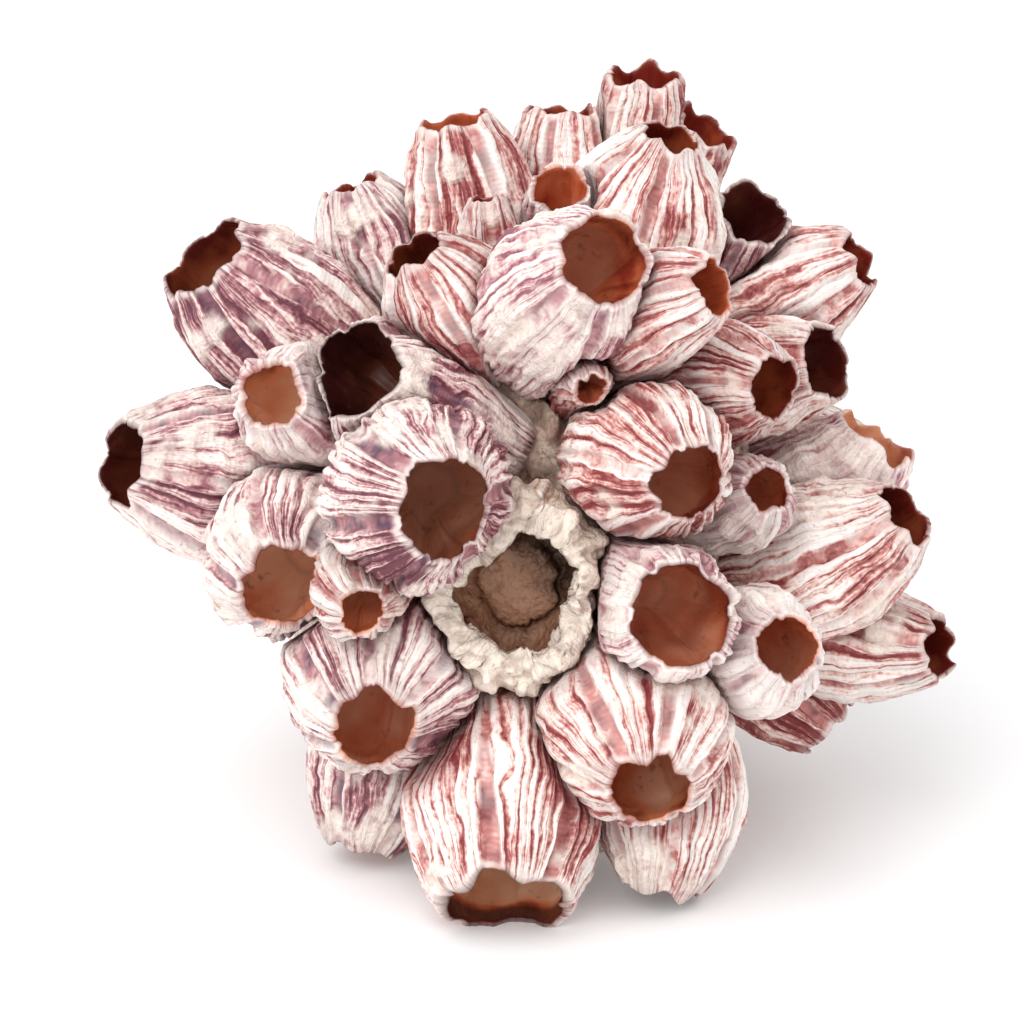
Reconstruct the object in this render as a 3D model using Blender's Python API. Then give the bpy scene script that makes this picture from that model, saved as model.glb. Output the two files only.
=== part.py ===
"""A cluster of giant acorn barnacles, each shell a solid of its own, grown on one mass of old shell."""

import math

import bmesh
import bpy
import numpy as np

MM = 0.001

# The picture frame: millimetres across, up and toward a viewer who stands in front and looks 20 degrees down.
VIEW_TILT = math.radians(20)
VIEW_DISTANCE = 1000.0
PICTURE_CENTRE = np.array([-2.8, 1.0, 49.4])

# The grown base: half a ball above its heart and a longer bulb below, sawn off flat at z = 0.
HEART = np.array([0.0, 2.2, 51.5])
BASE_WIDTH = 33.0
BASE_ABOVE = 34.0
BASE_BELOW = 68.0
BASE_LUMP = 0.05
BASE_AROUND = 18
BASE_RINGS = 11

# One shell: six wall plates, a sunken seam after each, a ragged lip, and a hollow that stops above its foot.
# Lengths are in millimetres. Steps, rises and starts are shares of the spine: 0 at the root, 1 at the mouth.
PLATES = 6
AROUND = 2 * PLATES
SEAM_DEPTH = 0.08
TIP_RISE = 0.022
LIP_SWAY = 0.014
LIP_WALL = {"rosy": 1.1, "plum": 1.1, "chalky": 1.2, "eroded": 4.0}
FOOT_WALL = 2.6
FLOOR_WALL = 1.0
HOLLOW_FLOOR = 0.38
FLOOR_ABOVE_FOOT = 0.12
BELLY_AT = 0.52
FOOT_SHARE = 0.55
OUTER_STEPS = (0.0, 0.33, 0.7, 1.0)
INNER_STEPS = (0.65,)
SPINE_STEPS = 14
ROOT_INSIDE = 5.0
FOOT_GAP = 1.0
CROWD_GAP = 1.25
LATEST_START = 0.85
FIRST_LOOKS = (0.2, 0.4, 0.55, 0.7, 0.85, 1.0)
HALVINGS = 12
LEAST_REACH = 0.8
HOLLOW_SHARE = 0.35
ELBOW_AT = 0.5
GOLDEN_TURN = 2.399963
STRAIGHT = 1e-3
ANY_SIDE = (0.3, 0.5, 0.8)

# Colours of the shells: slot, colour and roughness.
FINISHES = {
    "rosy_shell": ((0.74, 0.47, 0.45), 0.55),
    "plum_shell": ((0.62, 0.45, 0.48), 0.6),
    "chalky_shell": ((0.85, 0.79, 0.75), 0.75),
    "eroded_shell": ((0.8, 0.76, 0.7), 0.85),
    "old_crust": ((0.78, 0.72, 0.66), 0.85),
}

# Shells in view. Mouth place and facing are across, up, toward; then mouth radius, belly radius and length.
# A last value, where there is one, is the place of the root in the same frame.
FRONT_SHELLS = {
    "upper_left_wide": ("plum", (-49.0, 40.4, 15), (-0.62, 0.62, 0.45), 7.2, 13.6, 34),
    "upper_left_back": ("plum", (-25.6, 52.2, -6), (-0.35, 0.92, 0.12), 4.6, 11.0, 30),
    "upper_left_tall": ("rosy", (-9.4, 62.4, 3), (-0.22, 0.95, 0.2), 5.4, 10.6, 34),
    "upper_back_left": ("rosy", (8.4, 64.0, -10), (0.02, 0.98, 0.15), 5.4, 9.6, 30),
    "upper_pocket": ("plum", (8.0, 51.8, 24), (-0.1, 0.55, 0.83), 4.0, 7.2, 22),
    "upper_cone": ("rosy", (25.4, 60.0, 20), (0.3, 0.86, 0.42), 4.2, 13.8, 32),
    "crown_top": ("rosy", (21.0, 69.8, -10), (0.05, 0.93, 0.37), 5.2, 8.4, 32),
    "crown_right": ("rosy", (30.6, 61.6, -14), (0.55, 0.75, 0.35), 5.0, 8.0, 30),
    "upper_right_dark": ("plum", (38.1, 47.5, 10), (0.3, 0.6, 0.74), 5.8, 8.2, 28),
    "right_striped": ("rosy", (55.4, 40.4, 6), (0.88, 0.38, 0.28), 4.6, 11.2, 34),
    "chalky_knob": ("chalky", (14.8, 40.4, 54), (0.38, 0.27, 0.88), 6.6, 12.8, 30, (-2, 30, 25)),
    "knob_side": ("rosy", (32.2, 35.8, 49), (0.85, 0.2, 0.48), 4.4, 9.8, 32, (10, 23, 24)),
    "right_upper_barrel": ("rosy", (41.8, 19.8, 36), (0.68, -0.2, 0.7), 4.6, 10.2, 28),
    "right_dark_pocket": ("rosy", (50.0, 23.8, 19), (0.82, 0.1, 0.56), 5.6, 9.4, 28),
    "under_knob": ("rosy", (12.8, 19.6, 46), (0.1, -0.5, 0.86), 2.3, 5.4, 18),
    "middle_barrel": ("rosy", (28.2, 4.8, 52), (0.42, -0.32, 0.85), 5.5, 13.0, 30),
    "right_small_pocket": ("chalky", (40.8, 3.5, 38), (0.25, 0.25, 0.93), 2.9, 7.8, 22),
    "right_far_plates": ("chalky", (58.4, 11.8, 4), (0.55, 0.8, 0.22), 6.4, 10.6, 30),
    "right_long": ("rosy", (63.0, -0.5, 22), (0.7, 0.54, 0.46), 4.8, 11.8, 36, (44, -20, 10)),
    "right_low": ("rosy", (68.2, -21.8, 8), (0.87, 0.0, 0.48), 4.4, 10.2, 36),
    "right_low_back": ("rosy", (50.5, -34.0, -8), (0.7, -0.6, -0.1), 5.0, 9.6, 30),
    "left_long_dark": ("plum", (-25.0, 22.6, 40), (-0.44, 0.38, 0.81), 7.4, 12.4, 34, (2, 8, 26)),
    "left_small_white": ("chalky", (-38.4, 18.9, 40), (-0.15, 0.1, 0.98), 4.6, 9.4, 22),
    "left_wing": ("plum", (-62.4, 7.8, 18), (-0.86, 0.1, 0.5), 6.2, 14.0, 36),
    "left_low_barrel": ("plum", (-36.6, -11.8, 42), (0.25, -0.38, 0.89), 6.2, 13.4, 30, (-36, -4, 20)),
    "left_front": ("plum", (-11.0, 0.8, 62), (0.54, -0.12, 0.83), 7.4, 15.0, 32),
    "little_front": ("rosy", (-24.0, -15.8, 54), (0.42, -0.35, 0.84), 3.2, 8.4, 22),
    "old_open_shell": ("eroded", (0.4, -12.7, 42), (-0.08, 0.0, 0.99), 10.2, 17.0, 18),
    "lower_left_front": ("plum", (-22.0, -34.4, 44), (0.06, -0.46, 0.88), 6.1, 16.4, 32),
    "front_foot": ("rosy", (-1.0, -62.6, 38), (0.02, -0.84, 0.54), 9.4, 16.0, 40),
    "lower_right_barrel": ("rosy", (22.1, -44.2, 50), (0.04, -0.52, 0.85), 5.8, 15.4, 36),
    "right_front_open": ("chalky", (27.2, -16.6, 56), (0.15, 0.1, 0.98), 7.5, 11.0, 24),
    "right_white": ("chalky", (44.0, -21.6, 48), (0.25, 0.2, 0.95), 4.4, 10.0, 24, (34, -32, 20)),
    "right_foot": ("rosy", (23.4, -60.0, 24), (-0.2, -0.96, -0.12), 5.4, 12.8, 34),
    "left_foot": ("plum", (-24.0, -53.0, 8), (-0.24, -0.95, -0.14), 5.4, 12.6, 32),
    "tucked_small": ("rosy", (-4.0, 50.0, 20), (-0.12, 0.97, 0.12), 2.2, 5.6, 20),
    "upper_left_striped": ("rosy", (-15.7, 41.4, 34), (-0.5, 0.74, 0.45), 4.3, 11.8, 36),
}

# Shells round the back and sides, out of view. Mouth place and facing are in the object's own frame.
BACK_SHELLS = {
    "back_low_left": ("plum", (-36, 42, 20), (-0.65, 0.7, -0.3), 5.5, 11.5, 32),
    "back_low_middle_left": ("rosy", (-18, 54, 22), (-0.3, 0.9, -0.3), 5.5, 12.0, 32),
    "back_low_middle_right": ("plum", (12, 56, 24), (0.2, 0.93, -0.25), 6.5, 12.5, 32),
    "back_low_right": ("rosy", (40, 38, 20), (0.65, 0.68, -0.3), 5.5, 11.5, 32),
    "back_left": ("rosy", (-46, 39, 52), (-0.73, 0.65, 0.1), 5.5, 12.0, 32),
    "back_middle_left": ("chalky", (-24, 58, 52), (-0.35, 0.92, 0.1), 6.5, 13.0, 32),
    "back_middle_right": ("rosy", (12, 60, 56), (0.2, 0.97, 0.1), 5.5, 12.5, 32),
    "back_right": ("plum", (44, 44, 52), (0.7, 0.7, 0.05), 6.0, 13.0, 32),
    "back_high_left": ("plum", (-31, 53, 76), (-0.45, 0.8, 0.35), 5.5, 12.0, 32),
    "back_high_middle": ("rosy", (-4, 58, 80), (-0.1, 0.85, 0.5), 6.0, 12.5, 32),
    "back_high_right": ("chalky", (32, 50, 80), (0.5, 0.7, 0.5), 5.5, 12.0, 32),
    "back_top": ("rosy", (2, 46, 94), (0.0, 0.7, 0.7), 5.0, 10.5, 28),
    "top_middle": ("chalky", (-14, 30, 98), (-0.2, 0.4, 0.9), 4.5, 9.0, 26),
    "right_side_high": ("plum", (54, 19, 52), (0.93, 0.35, 0.0), 5.5, 12.0, 30),
    "right_side_low": ("rosy", (50, 10, 22), (0.9, 0.2, -0.4), 5.5, 11.5, 30),
    "left_side_middle": ("chalky", (-45, 14, 42), (-0.93, 0.3, -0.2), 5.0, 12.5, 28),
    "left_side_low": ("rosy", (-36, 12, 16), (-0.75, 0.2, -0.6), 4.5, 12.0, 22),
    "left_side_high": ("plum", (-45, 9, 63), (-0.95, 0.1, 0.15), 4.5, 11.0, 28),
    "left_side_front": ("plum", (-34.5, -5, 26), (-0.8, -0.25, -0.3), 4.8, 11.0, 20),
    "left_side_back": ("plum", (-44, 30, 30), (-0.8, 0.5, -0.3), 5.0, 12.0, 28),
}


def unit(v):
    v = np.asarray(v, float)
    return v / np.linalg.norm(v, axis=-1, keepdims=True)


def turned(v):
    """A direction in the picture frame, in the object's frame."""
    across, up, toward = v
    sine, cosine = math.sin(VIEW_TILT), math.cos(VIEW_TILT)
    return np.array([across, up * sine - toward * cosine, up * cosine + toward * sine])


def placed(v):
    """A place in the picture frame, in the object's frame. Sight lines spread: a nearer place is drawn in."""
    across, up, toward = v
    shrink = 1 - toward / VIEW_DISTANCE
    return PICTURE_CENTRE + turned((across * shrink, up * shrink, toward))


def base_reach(direction):
    """Distance from the heart to the base's skin: an ellipsoid with low lumps, cut at z = 0."""
    d = unit(direction)
    tall = np.where(d[..., 2] > 0, BASE_ABOVE, BASE_BELOW)
    level = (d[..., 0] ** 2 + d[..., 1] ** 2) / BASE_WIDTH**2
    round_reach = 1 / np.sqrt(level + d[..., 2] ** 2 / tall**2)
    lumps = np.sin(5 * d[..., 0] + 1.3) * np.sin(6 * d[..., 1] + 0.4) * np.sin(5 * d[..., 2] + 2.0)
    reach = round_reach * (1 + BASE_LUMP * lumps)
    to_floor = HEART[2] / np.maximum(-d[..., 2], 1e-6)
    return np.minimum(reach, to_floor)


class Shell:
    """One barnacle: a curved spine from root to mouth, and a round profile along it."""

    def __init__(self, number, kind, mouth, facing, mouth_radius, belly_radius, length, root=None):
        self.kind = kind
        self.lip_wall = LIP_WALL[kind]
        self.mouth_radius = mouth_radius
        self.belly_radius = belly_radius
        self.roll = number * GOLDEN_TURN
        facing = unit(facing)
        elbow = mouth - facing * ELBOW_AT * length
        if root is None:
            below = unit(elbow - HEART)
        else:
            below = unit(root - HEART)
        root = HEART + below * (base_reach(below) - ROOT_INSIDE)
        self.points = np.array([root, elbow, mouth])
        side = np.cross(facing, mouth - root)
        if np.linalg.norm(side) < STRAIGHT:
            side = np.cross(facing, ANY_SIDE)
        self.side = unit(side)
        steps = np.linspace(0, 1, SPINE_STEPS)
        self.spine = self.along(steps)
        self.girth = self.profile(steps)

    def along(self, t):
        """The spine, a curve through root and mouth with its elbow between."""
        t = np.asarray(t, float)[..., None]
        root, elbow, mouth = self.points
        return (1 - t) ** 2 * root + 2 * t * (1 - t) * elbow + t**2 * mouth

    def heading(self, t):
        t = np.asarray(t, float)[..., None]
        root, elbow, mouth = self.points
        return unit((1 - t) * (elbow - root) + t * (mouth - elbow))

    def profile(self, t):
        """Outer radius: a quarter sine up to the belly, and a quarter cosine from there to the lip."""
        foot = self.belly_radius * FOOT_SHARE
        lip = self.mouth_radius + self.lip_wall
        rising = foot + (self.belly_radius - foot) * np.sin(math.pi / 2 * np.clip(t / BELLY_AT, 0, 1))
        over = np.clip((t - BELLY_AT) / (1 - BELLY_AT), 0, 1.2)
        falling = lip + (self.belly_radius - lip) * np.cos(math.pi / 2 * over)
        return np.where(t < BELLY_AT, rising, falling)

    def spokes(self, t, angle):
        """Unit directions out from the spine."""
        heading = self.heading(t)
        first = np.broadcast_to(self.side, heading.shape)
        second = np.cross(heading, first)
        return np.cos(angle)[..., None] * first + np.sin(angle)[..., None] * second

    def touches(self, other):
        """Whether the two girths meet anywhere along the spines."""
        apart = np.linalg.norm(self.spine[:, None] - other.spine[None], axis=-1)
        return bool((apart < self.girth[:, None] + other.girth[None] + CROWD_GAP).any())

    def closeness(self, points):
        """Distance to the spine in girths: 1 on the plain outer surface."""
        away = np.linalg.norm(points[..., None, :] - self.spine, axis=-1)
        return (away / self.girth).min(axis=-1)


def crowded(shell, neighbours, t, angle, wanted):
    """The wanted radius, cut back to where a neighbour's share of the space begins."""
    centre, spoke = shell.along(t), shell.spokes(t, angle)

    def clear(radius):
        points = centre + spoke * radius[..., None]
        own = shell.closeness(points)
        return np.all([n.closeness(points) > own for n in neighbours], axis=0)

    whole = np.ones(wanted.shape, bool)
    low, high = np.zeros_like(wanted), wanted.copy()
    for share in FIRST_LOOKS:
        free = clear(wanted * share)
        low = np.where(whole & free, wanted * share, low)
        high = np.where(whole & ~free, wanted * share, high)
        whole &= free
    for _ in range(HALVINGS):
        middle = (low + high) / 2
        inside = clear(middle)
        low, high = np.where(inside, middle, low), np.where(inside, high, middle)
    return np.where(whole, wanted, np.maximum(low - CROWD_GAP / 2, LEAST_REACH))


def leaving(shell):
    """Where the spine itself leaves the base."""
    steps = np.linspace(0, LATEST_START, 200)
    away = shell.along(steps) - HEART
    inside = np.linalg.norm(away, axis=-1) < base_reach(away) + FOOT_GAP
    return steps[inside].max()


def foot_start(shell, angle, neighbours):
    """Where along the spine each line of the wall leaves the base."""
    low, high = np.zeros_like(angle), np.full_like(angle, LATEST_START)
    for _ in range(HALVINGS):
        middle = (low + high) / 2
        radius = crowded(shell, neighbours, middle, angle, shell.profile(middle))
        away = shell.along(middle) + shell.spokes(middle, angle) * radius[..., None] - HEART
        inside = np.linalg.norm(away, axis=-1) < base_reach(away) + FOOT_GAP
        low, high = np.where(inside, middle, low), np.where(inside, high, middle)
    return high


def loft(name, rows, first_end, last_end):
    """A closed mesh through rings of points, with a fan at each end."""
    bm = bmesh.new()
    rings = [[bm.verts.new(p * MM) for p in row] for row in rows]
    count = len(rings[0])
    for lower, upper in zip(rings, rings[1:]):
        for k in range(count):
            after = (k + 1) % count
            bm.faces.new((lower[k], lower[after], upper[after], upper[k]))
    for ring, end in ((rings[0], first_end), (rings[-1], last_end)):
        middle = bm.verts.new(end * MM)
        for k in range(count):
            bm.faces.new((ring[k], ring[(k + 1) % count], middle))
    bmesh.ops.recalc_face_normals(bm, faces=bm.faces)
    mesh = bpy.data.meshes.new(name)
    bm.to_mesh(mesh)
    bm.free()
    node = bpy.data.objects.new(name, mesh)
    bpy.context.scene.collection.objects.link(node)
    return node


def finish(slot):
    colour, roughness = FINISHES[slot]
    material = bpy.data.materials.new(slot)
    material.use_nodes = True
    shader = material.node_tree.nodes["Principled BSDF"]
    shader.inputs["Base Color"].default_value = (*colour, 1)
    shader.inputs["Roughness"].default_value = roughness
    return material


def build_shell(name, shell, neighbours):
    """The wall from the foot up to the ragged lip, then the hollow down to its floor."""
    steps = np.arange(AROUND)
    angle = shell.roll + steps * 2 * math.pi / AROUND
    seam = steps % 2
    relief = 1 - SEAM_DEPTH * seam
    rise = TIP_RISE * (1 - 2 * seam) + LIP_SWAY * np.sin(2.1 * steps + shell.roll)
    start = foot_start(shell, angle, neighbours)

    rows = []
    for share in OUTER_STEPS:
        t = start + share * (1 + rise - start)
        reach = crowded(shell, neighbours, t, angle, shell.profile(t) * relief)
        rows.append(shell.along(t) + shell.spokes(t, angle) * reach[:, None])

    floor = max(HOLLOW_FLOOR, start.max() + FLOOR_ABOVE_FOOT)
    for share in (1.0, *INNER_STEPS, 0.0):
        t = floor + share * (1 + rise - floor)
        reach = crowded(shell, neighbours, t, angle, shell.profile(t) * relief)
        wall = shell.lip_wall + (FOOT_WALL - shell.lip_wall) * np.clip((1 - t) / (1 - floor), 0, 1)
        hollow = np.maximum(reach - wall, HOLLOW_SHARE * reach)
        rows.append(shell.along(t) + shell.spokes(t, angle) * hollow[:, None])

    for number, row in enumerate(rows):
        lowest = 0 if number < len(OUTER_STEPS) else FLOOR_WALL
        row[:, 2] = np.maximum(row[:, 2], lowest)
    return loft(name, rows, shell.along(leaving(shell)), shell.along(floor))


def build_base():
    """The grown base, as rings of latitude about its heart from the rim of the sawn face up."""
    around = np.arange(BASE_AROUND) * 2 * math.pi / BASE_AROUND
    cut_radius = BASE_WIDTH * math.sqrt(1 - (HEART[2] / BASE_BELOW) ** 2)
    lowest = -math.atan2(HEART[2], cut_radius)
    rows = []
    for ring in range(BASE_RINGS):
        slope = lowest + (math.pi / 2 - lowest) * ring / BASE_RINGS
        level = np.full_like(around, math.sin(slope))
        flat = math.cos(slope)
        direction = np.stack([flat * np.cos(around), flat * np.sin(around), level], axis=-1)
        rows.append(HEART + direction * base_reach(direction)[:, None])
    rows[0][:, 2] = 0
    top = HEART + np.array([0, 0, float(base_reach(np.array([0.0, 0.0, 1.0])))])
    return loft("grown_base", rows, HEART * (1, 1, 0), top)


def main():
    for old in list(bpy.data.objects):
        bpy.data.objects.remove(old)
    shells = {}
    for name, (kind, mouth, facing, *sizes) in FRONT_SHELLS.items():
        root = [placed(p) for p in sizes[3:]]
        shells[name] = Shell(len(shells), kind, placed(mouth), turned(facing), *sizes[:3], *root)
    for name, (kind, mouth, facing, *sizes) in BACK_SHELLS.items():
        shells[name] = Shell(len(shells), kind, np.array(mouth, float), np.array(facing), *sizes)
    finishes = {slot: finish(slot) for slot in FINISHES}
    for name, shell in shells.items():
        others = [other for key, other in shells.items() if key != name and shell.touches(other)]
        node = build_shell(name, shell, others)
        node.data.materials.append(finishes[shell.kind + "_shell"])
    build_base().data.materials.append(finishes["old_crust"])


main()
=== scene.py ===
"""The looks of a barnacle cluster: ribbed, striped shells and the chalky crust that they grow from."""

import math

import bpy
import numpy as np
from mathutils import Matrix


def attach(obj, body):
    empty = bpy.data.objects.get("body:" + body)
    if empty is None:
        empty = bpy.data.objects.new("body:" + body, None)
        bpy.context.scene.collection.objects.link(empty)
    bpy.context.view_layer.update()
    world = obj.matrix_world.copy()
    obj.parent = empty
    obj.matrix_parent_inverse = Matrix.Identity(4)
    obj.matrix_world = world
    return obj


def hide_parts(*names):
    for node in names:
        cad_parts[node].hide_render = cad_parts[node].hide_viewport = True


bl_info = {
    "name": "Barnacle cluster",
    "version": (1, 0, 0),
    "blender": (4, 5, 0),
    "location": "View3D > Sidebar > Barnacles",
    "description": "Builds the striped shells and the crust of a barnacle cluster",
    "category": "Object",
}

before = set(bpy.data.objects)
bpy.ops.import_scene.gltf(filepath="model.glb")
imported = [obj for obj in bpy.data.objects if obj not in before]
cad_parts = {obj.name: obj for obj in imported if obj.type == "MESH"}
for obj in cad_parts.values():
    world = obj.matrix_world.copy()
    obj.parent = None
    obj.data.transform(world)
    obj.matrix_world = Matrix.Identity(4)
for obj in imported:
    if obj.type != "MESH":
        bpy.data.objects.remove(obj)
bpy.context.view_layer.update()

MM = 0.001
TURN = 2 * math.pi
GOLDEN_TURN = 2.399963
GOLDEN_SHARE = 0.618034

# The picture frame: millimetres across, up and toward a viewer who stands in front and looks 20 degrees down.
VIEW_TILT = math.radians(20)
VIEW_DISTANCE = 1000.0
VIEW_WIDTH = 163.84
PICTURE_CENTRE = np.array([-2.8, 1.0, 49.4])

# The grown base: an ellipsoid about its heart, longer below, cut flat at z = 0.
HEART = np.array([0.0, 2.2, 51.5])
BASE_WIDTH = 33.0
BASE_ABOVE = 34.0
BASE_BELOW = 68.0
BASE_LUMP = 0.05

# One shell. Lengths are in millimetres; starts, rises and steps are shares of the spine, from root to mouth.
PLATES = 6
SEAM_DEPTH = 0.08
TIP_RISE = 0.022
LIP_SWAY = 0.014
LIP_WALL = {"rosy": 1.1, "plum": 1.1, "chalky": 1.2, "eroded": 4.0}
FOOT_WALL = 2.6
HOLLOW_FLOOR = 0.38
FLOOR_ABOVE_FOOT = 0.12
BELLY_AT = 0.52
FOOT_SHARE = 0.55
SPINE_STEPS = 14
ROOT_INSIDE = 5.0
FOOT_SINK = 0.5
LATEST_START = 0.85
FIRST_LOOKS = (0.2, 0.4, 0.55, 0.7, 0.85, 1.0)
HALVINGS = 10
LEAST_REACH = 0.8
ELBOW_AT = 0.5
STRAIGHT = 1e-3
ANY_SIDE = (0.3, 0.5, 0.8)
CROWD_GAP = 0.7

# The grids: points round a shell, then the coarse grid on which crowding is worked out, then the crust's.
COUNT_LIMITS = (60, 264)
COARSE_AROUND = 48
COARSE_UP = 22
OLD_STRETCH = 1.2
CRUST_AROUND = 280
CRUST_UP = 130
CRUST_STEP = 2
TALLEST_LUMP = 9.0
LUMP_STEP = 0.75

# The noise: odd whole numbers that mix the corners of its lattice, and the scale that brings it near 1.
CORNER_MIX = (374761393, 668265263, 1440662683)
SEED_MIX = 974634777
LAST_MIX = 1274126177
LOW_BITS = 0xFFFFFFFF
NOISE_SCALE = 1.5

# The stage: the floor's half width in metres, the main light's softness and turn, and the camera's film.
FLOOR_REACH = 6.0
FLOOR_GLOW = 0.12
LIGHT_SPREAD = math.radians(58)
LIGHT_TURN = (math.radians(42), 0, math.radians(-38))
LIGHT_COLOUR = (1.0, 0.995, 0.985)
FILM_WIDTH = 36.0
FARTHEST_SEEN = 20.0

# Shells in view. Mouth place and facing are across, up, toward; then mouth radius, belly radius and length.
# A last value, where there is one, is the place of the root in the same frame.
FRONT_SHELLS = {
    "upper_left_wide": ("plum", (-49.0, 40.4, 15), (-0.62, 0.62, 0.45), 7.2, 13.6, 34),
    "upper_left_back": ("plum", (-25.6, 52.2, -6), (-0.35, 0.92, 0.12), 4.6, 11.0, 30),
    "upper_left_tall": ("rosy", (-9.4, 62.4, 3), (-0.22, 0.95, 0.2), 5.4, 10.6, 34),
    "upper_back_left": ("rosy", (8.4, 64.0, -10), (0.02, 0.98, 0.15), 5.4, 9.6, 30),
    "upper_pocket": ("plum", (8.0, 51.8, 24), (-0.1, 0.55, 0.83), 4.0, 7.2, 22),
    "upper_cone": ("rosy", (25.4, 60.0, 20), (0.3, 0.86, 0.42), 4.2, 13.8, 32),
    "crown_top": ("rosy", (21.0, 69.8, -10), (0.05, 0.93, 0.37), 5.2, 8.4, 32),
    "crown_right": ("rosy", (30.6, 61.6, -14), (0.55, 0.75, 0.35), 5.0, 8.0, 30),
    "upper_right_dark": ("plum", (38.1, 47.5, 10), (0.3, 0.6, 0.74), 5.8, 8.2, 28),
    "right_striped": ("rosy", (55.4, 40.4, 6), (0.88, 0.38, 0.28), 4.6, 11.2, 34),
    "chalky_knob": ("chalky", (14.8, 40.4, 54), (0.38, 0.27, 0.88), 6.6, 12.8, 30, (-2, 30, 25)),
    "knob_side": ("rosy", (32.2, 35.8, 49), (0.85, 0.2, 0.48), 4.4, 9.8, 32, (10, 23, 24)),
    "right_upper_barrel": ("rosy", (41.8, 19.8, 36), (0.68, -0.2, 0.7), 4.6, 10.2, 28),
    "right_dark_pocket": ("rosy", (50.0, 23.8, 19), (0.82, 0.1, 0.56), 5.6, 9.4, 28),
    "under_knob": ("rosy", (12.8, 19.6, 46), (0.1, -0.5, 0.86), 2.3, 5.4, 18),
    "middle_barrel": ("rosy", (28.2, 4.8, 52), (0.42, -0.32, 0.85), 5.5, 13.0, 30),
    "right_small_pocket": ("chalky", (40.8, 3.5, 38), (0.25, 0.25, 0.93), 2.9, 7.8, 22),
    "right_far_plates": ("chalky", (58.4, 11.8, 4), (0.55, 0.8, 0.22), 6.4, 10.6, 30),
    "right_long": ("rosy", (63.0, -0.5, 22), (0.7, 0.54, 0.46), 4.8, 11.8, 36, (44, -20, 10)),
    "right_low": ("rosy", (68.2, -21.8, 8), (0.87, 0.0, 0.48), 4.4, 10.2, 36),
    "right_low_back": ("rosy", (50.5, -34.0, -8), (0.7, -0.6, -0.1), 5.0, 9.6, 30),
    "left_long_dark": ("plum", (-25.0, 22.6, 40), (-0.44, 0.38, 0.81), 7.4, 12.4, 34, (2, 8, 26)),
    "left_small_white": ("chalky", (-38.4, 18.9, 40), (-0.15, 0.1, 0.98), 4.6, 9.4, 22),
    "left_wing": ("plum", (-62.4, 7.8, 18), (-0.86, 0.1, 0.5), 6.2, 14.0, 36),
    "left_low_barrel": ("plum", (-36.6, -11.8, 42), (0.25, -0.38, 0.89), 6.2, 13.4, 30, (-36, -4, 20)),
    "left_front": ("plum", (-11.0, 0.8, 62), (0.54, -0.12, 0.83), 7.4, 15.0, 32),
    "little_front": ("rosy", (-24.0, -15.8, 54), (0.42, -0.35, 0.84), 3.2, 8.4, 22),
    "old_open_shell": ("eroded", (0.4, -12.7, 42), (-0.08, 0.0, 0.99), 10.2, 17.0, 18),
    "lower_left_front": ("plum", (-22.0, -34.4, 44), (0.06, -0.46, 0.88), 6.1, 16.4, 32),
    "front_foot": ("rosy", (-1.0, -62.6, 38), (0.02, -0.84, 0.54), 9.4, 16.0, 40),
    "lower_right_barrel": ("rosy", (22.1, -44.2, 50), (0.04, -0.52, 0.85), 5.8, 15.4, 36),
    "right_front_open": ("chalky", (27.2, -16.6, 56), (0.15, 0.1, 0.98), 7.5, 11.0, 24),
    "right_white": ("chalky", (44.0, -21.6, 48), (0.25, 0.2, 0.95), 4.4, 10.0, 24, (34, -32, 20)),
    "right_foot": ("rosy", (23.4, -60.0, 24), (-0.2, -0.96, -0.12), 5.4, 12.8, 34),
    "left_foot": ("plum", (-24.0, -53.0, 8), (-0.24, -0.95, -0.14), 5.4, 12.6, 32),
    "tucked_small": ("rosy", (-4.0, 50.0, 20), (-0.12, 0.97, 0.12), 2.2, 5.6, 20),
    "upper_left_striped": ("rosy", (-15.7, 41.4, 34), (-0.5, 0.74, 0.45), 4.3, 11.8, 36),
}

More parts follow.
